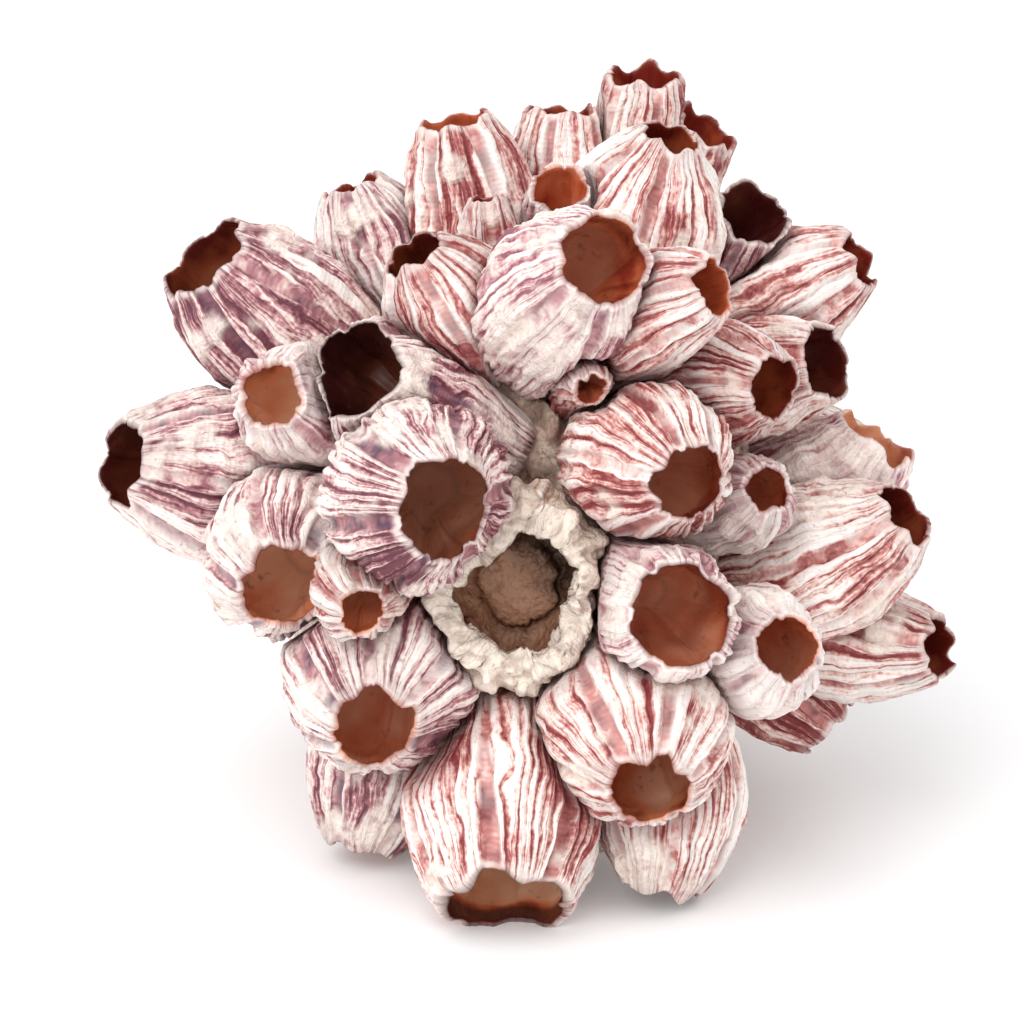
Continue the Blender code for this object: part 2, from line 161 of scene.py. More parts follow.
# Shells round the back and sides. Mouth place and facing are in the object's own frame.
BACK_SHELLS = {
    "back_low_left": ("plum", (-36, 42, 20), (-0.65, 0.7, -0.3), 5.5, 11.5, 32),
    "back_low_middle_left": ("rosy", (-18, 54, 22), (-0.3, 0.9, -0.3), 5.5, 12.0, 32),
    "back_low_middle_right": ("plum", (12, 56, 24), (0.2, 0.93, -0.25), 6.5, 12.5, 32),
    "back_low_right": ("rosy", (40, 38, 20), (0.65, 0.68, -0.3), 5.5, 11.5, 32),
    "back_left": ("rosy", (-46, 39, 52), (-0.73, 0.65, 0.1), 5.5, 12.0, 32),
    "back_middle_left": ("chalky", (-24, 58, 52), (-0.35, 0.92, 0.1), 6.5, 13.0, 32),
    "back_middle_right": ("rosy", (12, 60, 56), (0.2, 0.97, 0.1), 5.5, 12.5, 32),
    "back_right": ("plum", (44, 44, 52), (0.7, 0.7, 0.05), 6.0, 13.0, 32),
    "back_high_left": ("plum", (-31, 53, 76), (-0.45, 0.8, 0.35), 5.5, 12.0, 32),
    "back_high_middle": ("rosy", (-4, 58, 80), (-0.1, 0.85, 0.5), 6.0, 12.5, 32),
    "back_high_right": ("chalky", (32, 50, 80), (0.5, 0.7, 0.5), 5.5, 12.0, 32),
    "back_top": ("rosy", (2, 46, 94), (0.0, 0.7, 0.7), 5.0, 10.5, 28),
    "top_middle": ("chalky", (-14, 30, 98), (-0.2, 0.4, 0.9), 4.5, 9.0, 26),
    "right_side_high": ("plum", (54, 19, 52), (0.93, 0.35, 0.0), 5.5, 12.0, 30),
    "right_side_low": ("rosy", (50, 10, 22), (0.9, 0.2, -0.4), 5.5, 11.5, 30),
    "left_side_middle": ("chalky", (-45, 14, 42), (-0.93, 0.3, -0.2), 5.0, 12.5, 28),
    "left_side_low": ("rosy", (-36, 12, 16), (-0.75, 0.2, -0.6), 4.5, 12.0, 22),
    "left_side_high": ("plum", (-45, 9, 63), (-0.95, 0.1, 0.15), 4.5, 11.0, 28),
    "left_side_front": ("plum", (-34.5, -5, 26), (-0.8, -0.25, -0.3), 4.8, 11.0, 20),
    "left_side_back": ("plum", (-44, 30, 30), (-0.8, 0.5, -0.3), 5.0, 12.0, 28),
}

# How much of each finish's wall is under chalk, how high its ribs stand, and how ragged its lip is.
CHALK_SHARE = {"rosy": 0.1, "plum": 0.24, "chalky": 0.42, "eroded": 1.0}
RIB_SHARE = {"rosy": 1.0, "plum": 0.9, "chalky": 0.75, "eroded": 0.2}
RAGGED = {"rosy": 0.8, "plum": 1.0, "chalky": 1.2, "eroded": 1.8}

# How light a shell is inside, as painted light and shade over the inside's own colour: 0 nearly black,
# 1 pale orange, 1.5 cream. The others in front are half way.
INSIDE_PAINTED_LIGHT = {
    "left_long_dark": 0.0,
    "upper_right_dark": 0.05,
    "right_dark_pocket": 0.1,
    "left_wing": 0.1,
    "upper_left_wide": 0.2,
    "upper_left_striped": 0.25,
    "right_long": 0.3,
    "right_low": 0.3,
    "left_front": 0.28,
    "right_upper_barrel": 0.36,
    "right_front_open": 0.33,
    "middle_barrel": 0.4,
    "lower_right_barrel": 0.82,
    "chalky_knob": 0.62,
    "right_white": 0.62,
    "front_foot": 0.1,
    "lower_left_front": 0.76,
    "left_low_barrel": 0.95,
    "little_front": 0.8,
    "left_small_white": 1.1,
    "right_far_plates": 1.1,
}

# Insides whose floor is painted lighter than their wall, as light falling in: how light, and the share of the
# depth where it begins.
INSIDE_FLOOR_PAINTED_LIGHT = {
    "front_foot": (1.15, 0.2),
    "left_wing": (0.8, 0.5),
    "upper_left_wide": (0.6, 0.6),
    "right_front_open": (0.45, 0.7),
    "left_front": (0.36, 0.7),
    "middle_barrel": (0.5, 0.6),
}

# Lips that are thicker than their kind's, in millimetres.
LIP_EXTRA = {
    "front_foot": 1.0, "left_small_white": 0.7, "old_open_shell": 1.2, "chalky_knob": 0.2,
    "lower_right_barrel": 0.5, "left_low_barrel": 0.3, "lower_left_front": 0.3,
}

# How light a shell's wall is, from 0, mostly rose, to 1, mostly white. The others follow their number.
WALL_LIGHT = {
    "upper_left_wide": -0.2,
    "upper_left_back": 0.8,
    "upper_left_tall": 0.5,
    "upper_back_left": 0.5,
    "upper_cone": 0.85,
    "crown_top": 0.4,
    "upper_right_dark": 0.4,
    "right_striped": 0.6,
    "chalky_knob": 0.1,
    "knob_side": 0.3,
    "right_upper_barrel": 0.25,
    "right_dark_pocket": 0.3,
    "middle_barrel": 0.4,
    "right_far_plates": 0.5,
    "right_long": 0.4,
    "right_low": 0.45,
    "right_low_back": 0.0,
    "left_long_dark": 0.4,
    "left_small_white": 0.8,
    "left_wing": 0.5,
    "left_low_barrel": 0.6,
    "left_front": 0.08,
    "little_front": 0.6,
    "lower_left_front": 0.4,
    "front_foot": 0.6,
    "lower_right_barrel": 0.75,
    "right_front_open": 0.3,
    "right_white": 1.6,
    "right_foot": 0.6,
    "left_foot": 0.3,
    "tucked_small": 0.1,
    "upper_left_striped": 0.05,
}

# Shells whose ribs are fewer and broader than their size gives.
RIB_COUNT = {"upper_left_wide": 19, "upper_left_tall": 17, "lower_right_barrel": 23, "left_wing": 24}

# The sides of the old open shell, in the picture frame: one painted dark within as shade, and one where the
# crack round its floor is painted dark as shade.
SHADED_SIDE = (0.75, 0.65, 0.0)
CRACKED_SIDE = (0.9, -0.4, 0.0)

# Patches of cream chalk in view: across, up and radius in the picture frame.
CHALK_SPOTS = (
    (-16.6, 21.4, 5.6), (-45.9, -16.0, 4.0), (-44.8, -1.3, 3.6), (-61.1, 15.5, 4.2), (0.0, 29.1, 4.6),
    (5.3, 24.3, 3.4), (11.7, -42.1, 3.4), (32.5, -28.5, 3.4), (54.1, 8.3, 6.4), (20.5, -56.6, 4.2),
    (-32.3, -30.1, 3.4), (-54.7, 25.1, 2.8), (-9.1, 55.5, 2.6), (58.9, -18.1, 4.6), (-12.0, -58.5, 2.4),
    (-37.0, 44.0, 2.8), (30.0, 8.0, 2.2), (-20.0, 12.5, 2.6),
)


def unit(v):
    v = np.asarray(v, float)
    return v / np.linalg.norm(v, axis=-1, keepdims=True)


def turned(v):
    """A direction in the picture frame, in the object's frame."""
    across, up, toward = v
    sine, cosine = math.sin(VIEW_TILT), math.cos(VIEW_TILT)
    return np.array([across, up * sine - toward * cosine, up * cosine + toward * sine])


def placed(v):
    """A place in the picture frame, in the object's frame. Sight lines spread: a nearer place is drawn in."""
    across, up, toward = v
    shrink = 1 - toward / VIEW_DISTANCE
    return PICTURE_CENTRE + turned((across * shrink, up * shrink, toward))


def ease(x, low, high):
    """0 below low, 1 above high, and a smooth step between."""
    x = np.clip((x - low) / (high - low), 0, 1)
    return x * x * (3 - 2 * x)


def soft_least(a, b, width):
    """The lesser of two values, rounded over the given width where they cross."""
    h = np.clip(0.5 + 0.5 * (b - a) / width, 0, 1)
    return b + (a - b) * h - width * h * (1 - h)


GRADIENTS = unit(
    [(x, y, z) for x in (-1, 0, 1) for y in (-1, 0, 1) for z in (-1, 0, 1) if abs(x) + abs(y) + abs(z) >= 2]
)


def noise(x, y, z, seed=0):
    """Gradient noise from about -1 to 1: a slope picked for each lattice corner, blended by a quintic."""
    x, y, z = np.broadcast_arrays(np.asarray(x, float), y, z)
    cell = [np.floor(c).astype(np.int64) for c in (x, y, z)]
    part = [c - k for c, k in zip((x, y, z), cell)]
    blend = [p * p * p * (p * (6 * p - 15) + 10) for p in part]
    total = np.zeros(x.shape)
    for i in (0, 1):
        for j in (0, 1):
            for k in (0, 1):
                h = sum((own + step) * mix for own, step, mix in zip(cell, (i, j, k), CORNER_MIX))
                h = (h + seed * SEED_MIX) & LOW_BITS
                h = ((h ^ (h >> 13)) * LAST_MIX) & LOW_BITS
                slope = GRADIENTS[(h ^ (h >> 16)) % len(GRADIENTS)]
                value = slope[..., 0] * (part[0] - i) + slope[..., 1] * (part[1] - j)
                value += slope[..., 2] * (part[2] - k)
                weight = blend[0] if i else 1 - blend[0]
                weight = weight * (blend[1] if j else 1 - blend[1]) * (blend[2] if k else 1 - blend[2])
                total += weight * value
    return total * NOISE_SCALE


def ring_noise(turn, number):
    """Noise that closes round a shell, as a function of scale, level and a seed past its number."""
    c, s = np.cos(turn), np.sin(turn)
    return lambda scale, level, seed=0: noise(scale * c, scale * s, level, number + seed)


def on_picture(points):
    """Where points of the object's frame are seen, across and up in the picture frame, and their toward."""
    away = points - PICTURE_CENTRE
    sine, cosine = math.sin(VIEW_TILT), math.cos(VIEW_TILT)
    toward = away[..., 2] * sine - away[..., 1] * cosine
    grow = 1 / (1 - toward / VIEW_DISTANCE)
    return away[..., 0] * grow, (away[..., 2] * cosine + away[..., 1] * sine) * grow, toward


def base_reach(direction):
    """Distance from the heart to the base's skin: an ellipsoid with low lumps, cut at z = 0."""
    d = unit(direction)
    tall = np.where(d[..., 2] > 0, BASE_ABOVE, BASE_BELOW)
    level = (d[..., 0] ** 2 + d[..., 1] ** 2) / BASE_WIDTH**2
    round_reach = 1 / np.sqrt(level + d[..., 2] ** 2 / tall**2)
    lumps = np.sin(5 * d[..., 0] + 1.3) * np.sin(6 * d[..., 1] + 0.4) * np.sin(5 * d[..., 2] + 2.0)
    reach = round_reach * (1 + BASE_LUMP * lumps)
    to_floor = HEART[2] / np.maximum(-d[..., 2], 1e-6)
    return np.minimum(reach, to_floor)


class Shell:
    """One barnacle: a curved spine from root to mouth, and a round profile along it."""

    def __init__(self, number, kind, mouth, facing, mouth_radius, belly_radius, length, root=None):
        self.number = number
        self.kind = kind
        self.length = length
        self.lip_wall = LIP_WALL[kind]
        self.mouth_radius = mouth_radius
        self.belly_radius = belly_radius
        self.roll = number * GOLDEN_TURN
        self.ribs = 0
        facing = unit(facing)
        elbow = mouth - facing * ELBOW_AT * length
        if root is None:
            below = unit(elbow - HEART)
        else:
            below = unit(root - HEART)
        root = HEART + below * (base_reach(below) - ROOT_INSIDE)
        self.points = np.array([root, elbow, mouth])
        side = np.cross(facing, mouth - root)
        if np.linalg.norm(side) < STRAIGHT:
            side = np.cross(facing, ANY_SIDE)
        self.side = unit(side)
        steps = np.linspace(0, 1, SPINE_STEPS)
        self.spine = self.along(steps)
        self.girth = self.profile(steps)

    def along(self, t):
        """The spine, a curve through root and mouth with its elbow between."""
        t = np.asarray(t, float)[..., None]
        root, elbow, mouth = self.points
        return (1 - t) ** 2 * root + 2 * t * (1 - t) * elbow + t**2 * mouth

    def heading(self, t):
        t = np.asarray(t, float)[..., None]
        root, elbow, mouth = self.points
        return unit((1 - t) * (elbow - root) + t * (mouth - elbow))

    def profile(self, t):
        """Outer radius: a quarter sine up to the belly, and a quarter cosine from there to the lip."""
        foot = self.belly_radius * FOOT_SHARE
        lip = self.mouth_radius + self.lip_wall
        rising = foot + (self.belly_radius - foot) * np.sin(math.pi / 2 * np.clip(t / BELLY_AT, 0, 1))
        over = np.clip((t - BELLY_AT) / (1 - BELLY_AT), 0, 1.2)
        falling = lip + (self.belly_radius - lip) * np.cos(math.pi / 2 * over)
        return np.where(t < BELLY_AT, rising, falling)

    def spokes(self, t, angle):
        """Unit directions out from the spine."""
        heading = self.heading(t)
        first = np.broadcast_to(self.side, heading.shape)
        second = np.cross(heading, first)
        return np.cos(angle)[..., None] * first + np.sin(angle)[..., None] * second

    def at(self, t, angle, reach):
        """Points at the given distances out from the spine."""
        return self.along(t) + self.spokes(t, np.broadcast_to(angle, t.shape)) * reach[..., None]

    def touches(self, other):
        """Whether the two girths meet anywhere along the spines."""
        apart = np.linalg.norm(self.spine[:, None] - other.spine[None], axis=-1)
        return bool((apart < 1.3 * (self.girth[:, None] + other.girth[None])).any())

    def closeness(self, points):
        """Distance to the spine in girths: 1 on the plain outer surface."""
        away = np.linalg.norm(points[..., None, :] - self.spine, axis=-1)
        return (away / self.girth).min(axis=-1)


def crowded(shell, neighbours, t, angle, wanted):
    """The wanted radius, cut back to where a neighbour's share of the space begins."""
    centre, spoke = shell.along(t), shell.spokes(t, angle)

    def clear(radius):
        points = centre + spoke * radius[..., None]
        own = shell.closeness(points)
        return np.all([n.closeness(points) > own for n in neighbours], axis=0)

    whole = np.ones(wanted.shape, bool)
    low, high = np.zeros_like(wanted), wanted.copy()
    for share in FIRST_LOOKS:
        free = clear(wanted * share)
        low = np.where(whole & free, wanted * share, low)
        high = np.where(whole & ~free, wanted * share, high)
        whole &= free
    for _ in range(HALVINGS):
        middle = (low + high) / 2
        inside = clear(middle)
        low, high = np.where(inside, middle, low), np.where(inside, high, middle)
    return np.where(whole, wanted, np.maximum(low - CROWD_GAP / 2, LEAST_REACH))


def leaving(shell):
    """Where the spine itself leaves the base."""
    steps = np.linspace(0, LATEST_START, 200)
    away = shell.along(steps) - HEART
    inside = np.linalg.norm(away, axis=-1) < base_reach(away) - FOOT_SINK
    return steps[inside].max()


def foot_start(shell, angle, neighbours):
    """Where along the spine each line of the wall leaves the base."""
    low, high = np.zeros_like(angle), np.full_like(angle, LATEST_START)
    for _ in range(HALVINGS):
        middle = (low + high) / 2
        radius = crowded(shell, neighbours, middle, angle, shell.profile(middle))
        away = shell.at(middle, angle, radius) - HEART
        inside = np.linalg.norm(away, axis=-1) < base_reach(away) - FOOT_SINK
        low, high = np.where(inside, middle, low), np.where(inside, high, middle)
    return high


def round_blend(values, count):
    """Values given at even steps round a ring, at count even steps, joined by half cosines."""
    place = np.arange(count) * len(values) / count
    k = place.astype(int)
    share = 0.5 - 0.5 * np.cos(math.pi * (place - k))
    return values[k] * (1 - share) + values[(k + 1) % len(values)] * share


def grid_read(values, level):
    """A coarse grid, levels up and even steps round, read at each place of a finer grid of levels."""
    high, coarse = values.shape
    place = np.asarray(level) * (high - 1)
    i = np.clip(place.astype(int), 0, high - 2)
    up = place - i
    over = np.arange(place.shape[1]) * coarse / place.shape[1]
    k = over.astype(int)
    over = over - k
    after = (k + 1) % coarse
    low = values[i, k] * (1 - over) + values[i, after] * over
    top = values[i + 1, k] * (1 - over) + values[i + 1, after] * over
    return low * (1 - up) + top * up


def plate_form(shell, angle, t):
    """Wall radius as a share, the seam mask, and an angle that gives each plate an even share of the turn.

    Six plates, each a shallow arch across; between them seams that widen towards the mouth, sunken and flat.
    """
    n = shell.number
    swayed = angle + 0.07 * np.sin(angle + n) + 0.05 * np.sin(2 * angle + 2.3 * n)
    sector = (swayed - shell.roll) * PLATES / TURN
    plate = np.round(sector)
    off = 2 * (sector - plate)
    wide = 0.05 + 0.17 * ease(t, 0.25, 1.0) * (1 + 0.6 * np.sin(plate * 2.1 + n))
    seam = ease(np.abs(off), 1 - wide - 0.05, 1 - wide + 0.07)
    across = np.clip(off / (1 - wide), -1, 1)
    depth = SEAM_DEPTH * (0.35 + 0.75 * ease(t, 0.2, 0.9))
    shoulder = np.exp(-(((np.abs(off) - (1 - wide - 0.1)) / 0.09) ** 2))
    share = 1.005 - depth * seam - 0.03 * across**4 + 0.012 * shoulder * ease(t, 0.2, 0.8)
    even = (plate + 0.46 * across + 0.04 * off) * TURN / PLATES
    return share, seam, even


def rib_turn(shell, even, down):
    """Ribs in the whole turn, and the angle that they follow: even, swayed by slow and quick noise."""
    n = shell.number
    size = shell.belly_radius
    c, s = np.cos(even), np.sin(even)
    ring = ring_noise(even, n)
    sway = 1.05 * noise(down / 5.2, 0.9 * c, 0.9 * s, n) + 0.36 * noise(down / 1.9, 1.6 * c, 1.6 * s, n + 50)
    drift = 1.7 * ring(2.4, down / 26, 9) + 0.55 * ring(7, down / 34, 10)
    ribs = shell.ribs or int(np.clip(round(size * (2.6 + 0.6 * math.sin(3.3 * n))), 12, 42))
    return ribs, even + (sway * ease(down, -0.5, 3.0) + drift) / size


def wall_relief(shell, even, seam, down, reach, points):
    """Height over the plain wall in millimetres, the rib count and angle, the chalk mask and the layers.

    Ribs are half cosines round the shell, round on top and sharp between. The wall is laid down in layers:
    slow folds with their heights gathered into steps. Ledges are steps down towards the mouth, and chalk is
    a rough skin where slow noise is high.
    """
    n = shell.number
    size = shell.belly_radius
    ribs, turn = rib_turn(shell, even, down)
    c, s = np.cos(turn), np.sin(turn)
    crest = np.abs(np.cos(ribs * turn / 2))
    ring = ring_noise(turn, n)
    strong = np.clip(0.8 + ring(2.6, down / 20, 3), 0.08, 1.6)
    folds = ring(2.9, down / 30, 14) + 0.4 * ring(6.5, down / 16, 15)
    growth = noise(down / 1.3, 1.2 * c, 1.2 * s, n + 20)

    x, y, z = np.moveaxis(points, -1, 0)
    slow = noise(x / 9, y / 9, z / 9, 7) + 0.55 * noise(x / 3.6, y / 3.6, z / 3.6, 8)
    chalk = ease(slow + 1.3 * CHALK_SHARE[shell.kind] - 0.62, -0.1, 0.22)
    across, up, toward = on_picture(points)
    for spot_across, spot_up, radius in CHALK_SPOTS:
        near = 1.05 - np.hypot(across - spot_across, up - spot_up) / radius + 0.6 * slow
        chalk = np.maximum(chalk, ease(near, 0.0, 0.3) * (toward > -10))
    rough = noise(x / 2.6, y / 2.6, z / 2.6, 5) + 0.5 * noise(x / 1.1, y / 1.1, z / 1.1, 6)

    tall = settings().rib_height / MM * RIB_SHARE[shell.kind] * min(1, size / 11)
    tall = tall * (reach / size) ** 0.6 * (0.3 + 0.7 * ease(down, 0.3, 3.4))
    height = tall * (crest - 0.64) * strong * (1 - 0.9 * seam) * (1 - 0.55 * chalk)
    layer = 2.1 * folds
    whole = np.floor(layer)
    layer = whole + ease(layer - whole, 0.3, 0.66)
    even_wall = 0.3 if shell.kind == "eroded" else 1.0
    height += even_wall * (0.2 * folds + 0.3 * layer) * (1 - 0.6 * seam) * ease(down, 0, 4)
    height += 0.1 * growth
    for k in range(3):
        at = (0.12 + 0.27 * k + 0.1 * math.sin(5 * n + 3 * k)) * shell.length
        past = down - at - 2.4 * ring(1.7, k * 3.7, 30) - 0.8 * ring(6, k * 1.7, 31)
        gate = ease(ring(1.4, k * 5.1, 40), -0.2, 0.15)
        height += 0.5 * gate * (ease(past, -0.3, 0.3) - 0.5) * np.exp(-((past / 4.5) ** 2))
    height += chalk * (0.3 + 0.42 * rough)
    return height, ribs, turn, chalk, layer


def weathered(points, amount, grain):
    """Points moved by three sizes of noise, as worn and crusted edges are. Both values are in millimetres."""
    moved = points.copy()
    for size, share, seed in ((grain, 1.0, 200), (grain / 2.4, 0.4, 210), (grain / 5, 0.17, 220)):
        x, y, z = np.moveaxis(points / size, -1, 0)
        for axis in range(3):
            moved[..., axis] += amount * share * noise(x, y, z, seed + axis)
    return moved


def swollen(rows, amount, grain, seed):
    """Points moved out of the skin by round lumps with sharp creases between, and the mask of the creases,
    darkened in the finish as painted shade.

    rows is a grid of points up the outside and down the inside, so the skin faces round-step cross row-step.
    """
    out = np.cross(np.roll(rows, -1, axis=1) - np.roll(rows, 1, axis=1), np.gradient(rows, axis=0))
    out /= np.maximum(np.linalg.norm(out, axis=-1, keepdims=True), 1e-9)
    x, y, z = np.moveaxis(rows / grain, -1, 0)
    large = np.abs(noise(x, y, z, seed))
    small = np.abs(noise(2.3 * x, 2.3 * y, 2.3 * z, seed + 1))
    lumps = amount * (2.0 * large + 0.6 * small - 0.6)
    return rows + out * lumps[..., None], 1 - ease(large, 0.02, 0.14)


def joined_mesh(name, rows, first, last, marks, lines=None):
    """A closed mesh through rings of points with a pole at each end, and its marks as attributes.

    rows has the shape (rings, count, 3); marks maps a name to (values on the rings, first pole, last pole).
    lines, for a map of two values for each point, has one more column that closes the turn.
    """
    rings, count = rows.shape[:2]
    places = np.concatenate([rows.reshape(-1, 3), [first], [last]]) * MM
    k = np.arange(count)
    after = (k + 1) % count
    low = np.arange(rings - 1)[:, None] * count
    quads = np.stack([low + k, low + after, low + count + after, low + count + k], axis=-1).reshape(-1, 4)
    pole = rings * count
    top = (rings - 1) * count
    start_fan = np.stack([np.full(count, pole), after, k], axis=-1)
    end_fan = np.stack([top + k, top + after, np.full(count, pole + 1)], axis=-1)
    corners = np.concatenate([quads.ravel(), start_fan.ravel(), end_fan.ravel()])
    sizes = np.concatenate([np.full(len(quads), 4), np.full(2 * count, 3)])
    starts = np.concatenate([[0], np.cumsum(sizes)[:-1]])

    mesh = bpy.data.meshes.new(name)
    mesh.vertices.add(len(places))
    mesh.vertices.foreach_set("co", places.astype(np.float32).ravel())
    mesh.loops.add(len(corners))
    mesh.loops.foreach_set("vertex_index", corners.astype(np.int32))
    mesh.polygons.add(len(sizes))
    mesh.polygons.foreach_set("loop_start", starts.astype(np.int32))
    mesh.update(calc_edges=True)
    mesh.polygons.foreach_set("use_smooth", np.ones(len(sizes), bool))
    for mark, (values, at_first, at_last) in marks.items():
        values = np.asarray(values, np.float32)
        if values.ndim == 3:
            layer = mesh.attributes.new(mark, "FLOAT_VECTOR", "POINT")
            flat = np.concatenate([values.reshape(-1, 3), [at_first], [at_last]])
            layer.data.foreach_set("vector", flat.astype(np.float32).ravel())
        else:
            layer = mesh.attributes.new(mark, "FLOAT", "POINT")
            flat = np.concatenate([values.ravel(), [at_first], [at_last]])
            layer.data.foreach_set("value", flat.astype(np.float32))
    if lines is not None:
        body = np.stack([lines[:-1, :-1], lines[:-1, 1:], lines[1:, 1:], lines[1:, :-1]], axis=2)
        foot = np.stack([lines[0, :-1], lines[0, 1:], lines[0, :-1]], axis=1)
        floor = np.stack([lines[-1, :-1], lines[-1, 1:], lines[-1, :-1]], axis=1)
        flat = np.concatenate([body.reshape(-1, 2), foot.reshape(-1, 2), floor.reshape(-1, 2)])
        mesh.uv_layers.new(name="ribs").data.foreach_set("uv", flat.astype(np.float32).ravel())
    piece = bpy.data.objects.new(name, mesh)
    bpy.context.scene.collection.objects.link(piece)
    return piece


def shell_surface(name, shell, neighbours, spacing):
    """The whole skin of one shell: outer wall from foot to lip, over the lip, and down to the floor."""
    n = shell.number
    old = shell.kind == "eroded"
    key = name.removesuffix("_skin")
    # The inside's lightness is painted light and shade: it picks lit and shaded copies of one inside colour.
    light = INSIDE_PAINTED_LIGHT.get(key, 0.5 if key in FRONT_SHELLS else 0.25 + 0.6 * ((n * GOLDEN_SHARE) % 1))
    count = int(np.clip(round(TURN * shell.belly_radius / spacing), *COUNT_LIMITS))
    angle = shell.roll + np.arange(count) * TURN / count
    ring = ring_noise(angle, n)

    coarse_angle = shell.roll + np.arange(COARSE_AROUND) * TURN / COARSE_AROUND
    steps = np.arange(2 * PLATES)
    rise = TIP_RISE * (1 - 2 * (steps % 2)) + LIP_SWAY * np.sin(2.1 * steps + shell.roll)
    start_ring = foot_start(shell, coarse_angle, neighbours)
    top_ring = 1 + round_blend(rise, COARSE_AROUND)
    levels = np.linspace(0, 1, COARSE_UP)
    t_grid = start_ring + levels[:, None] * (top_ring - start_ring)
    open_reach = shell.profile(t_grid) * 1.3
    limit_grid = crowded(shell, neighbours, t_grid, np.broadcast_to(coarse_angle, t_grid.shape), open_reach)

    start = round_blend(start_ring, count)
    tears = 1.2 * ring(1.2, 0.5) + 0.5 * ring(3.1, 1.5) + 0.1 * ring(9, 2.5)
    tears -= 0.7 * ease(ring(2.3, 9.1), 0.3, 0.45)
    cone = (shell.belly_radius - shell.mouth_radius) * math.pi / 2 / ((1 - BELLY_AT) * shell.length)
    ragged = RAGGED[shell.kind] * min(1, shell.mouth_radius / 5) / (1 + 1.2 * max(cone, 0))
    top = 1 + round_blend(rise, count) * (1 - 0.4 * min(cone, 1)) + ragged * tears / shell.length

    def plain(t):
        """The plain wall's radius at rows of t, with its limit, seam mask and even angle."""
        limit = grid_read(limit_grid, np.clip((t - start) / (top - start), 0, 1))
        share, seam, even = plate_form(shell, np.broadcast_to(angle, t.shape), t)
        bent = 1 + (0.09 * ring(1.1, 7.7) + 0.04 * ring(2.6, 7.7)) * ease(t, 0.5, 1.0)
        reach = soft_least(shell.profile(t) * share * bent, limit - 0.35, 1.0)
        return np.maximum(reach, LEAST_REACH), limit, seam, even

    rows_out = max(16, round(shell.length / spacing / (OLD_STRETCH if old else settings().stretch)))
    climb = np.linspace(0, 1, rows_out) ** 0.85
    t = start + climb[:, None] * (top - start)
    reach, limit, seam, even = plain(t)
    down = (top - t) * shell.length
    plain_points = shell.at(t, angle, reach)
    height, ribs, turn, chalk, layer = wall_relief(shell, even, seam, down, reach, plain_points)
    fade = ease(limit - reach, 0.1, 0.8)
    outer = np.minimum(reach + height * (0.35 + 0.65 * fade), limit - 0.1)

    uneven = 0.4 * ring(1.7, 4.4) + 0.12 * ring(5, 4.4)
    lip = np.minimum((shell.lip_wall + LIP_EXTRA.get(key, 0)) * (0.85 + uneven), 0.45 * reach[-1])
    filled = reach[-1] * (1 + 0.95 * SEAM_DEPTH * seam[-1])
    inner_edge = soft_least(filled - lip, outer[-1] - 0.4, 0.4)
    if old:
        evened = np.mean([np.roll(inner_edge, k) for k in range(-9, 10)], axis=0)
        inner_edge = np.minimum(evened, outer[-1] - 1.2)
    over = (np.linspace(0.05, 0.95, 10) if old else np.array([0.15, 0.5, 0.85]))[:, None]
    bulge = 1.4 * (1 + 0.9 * ring(3.2, 8.8)) if old else 0.24
    t_lip = top + bulge * np.sin(math.pi * over) / shell.length
    lip_reach = outer[-1] * (1 - over) + inner_edge * over

    rows_in = max(12, round(0.5 * rows_out))
    floor = max(HOLLOW_FLOOR, start_ring.max() + FLOOR_ABOVE_FOOT)
    dive = np.linspace(0, 1, rows_in) ** 1.15
    t_in = top + dive[:, None] * (floor - top)
    reach_in, _, seam_in, even_in = plain(t_in)
    inward = (top - t_in) * shell.length
    wall = lip + (FOOT_WALL - lip) * ease(inward, 0, 9)
    ripple = noise(inward / 1.6, 1.5 * np.cos(even_in), 1.5 * np.sin(even_in), n)
    wall = wall + 0.3 * ease(inward, 5.5, 6.2) + 0.12 * ripple * ease(inward, 0.3, 2)
    arch = 0.9 * SEAM_DEPTH * (0.35 + 0.75 * ease(t_in, 0.2, 0.9)) * seam_in
    inner = soft_least(reach_in * (1 + arch) - wall, reach_in - 0.6, 0.4)
    inner = inner + (inner_edge - inner[0]) * (1 - ease(inward, 0, 2.5))
    narrowing = 0.12 if old else 0.42
    inner = inner * (1 - narrowing * ease(dive, 0.6, 1.0)[:, None] ** 2)
    inner = np.maximum(inner, 0.3 * reach_in)

    if old:
        dish = np.concatenate([np.linspace(0.97, 0.82, 6), np.linspace(0.74, 0.08, 10)])
        lift = np.interp(-dish, (-0.96, -0.9, -0.83, -0.6, -0.3), (-0.9, -0.3, 1.3, 1.8, 2.0))
    else:
        dish = np.array([0.86, 0.66, 0.44, 0.2])
        lift = -0.5 * (1 - dish**2)
    t_dish = np.full((len(dish), count), floor) + (lift / shell.length)[:, None]
    jagged = 0.12 * ring(1.5, 6.6) + 0.07 * ring(6, 6.6) + 0.05 * ring(15, 6.6)
    middling = np.median(inner[-1]) * (0.91 + jagged)
    round_edge = np.minimum(inner[-1], middling) if old else inner[-1]
    dish_reach = round_edge * dish[:, None]

    parts = ((t, outer), (t_lip, lip_reach), (t_in, inner), (t_dish, dish_reach))
    rows = np.concatenate([shell.at(at, angle, out) for at, out in parts])
    under = rows_in + len(dish)
    deepest = np.full((len(dish), count), inward[-1].mean())
    below_lip = np.concatenate([down, np.zeros((len(over), count)), inward, deepest])
    worn = 1.25 * (0.3 + 0.7 * ease(-below_lip, -9, -2)) if old else 0.2
    rows = weathered(rows, worn, 4.6 if old else 2.8)
    crease_shade = np.zeros((len(rows), count))
    if old:
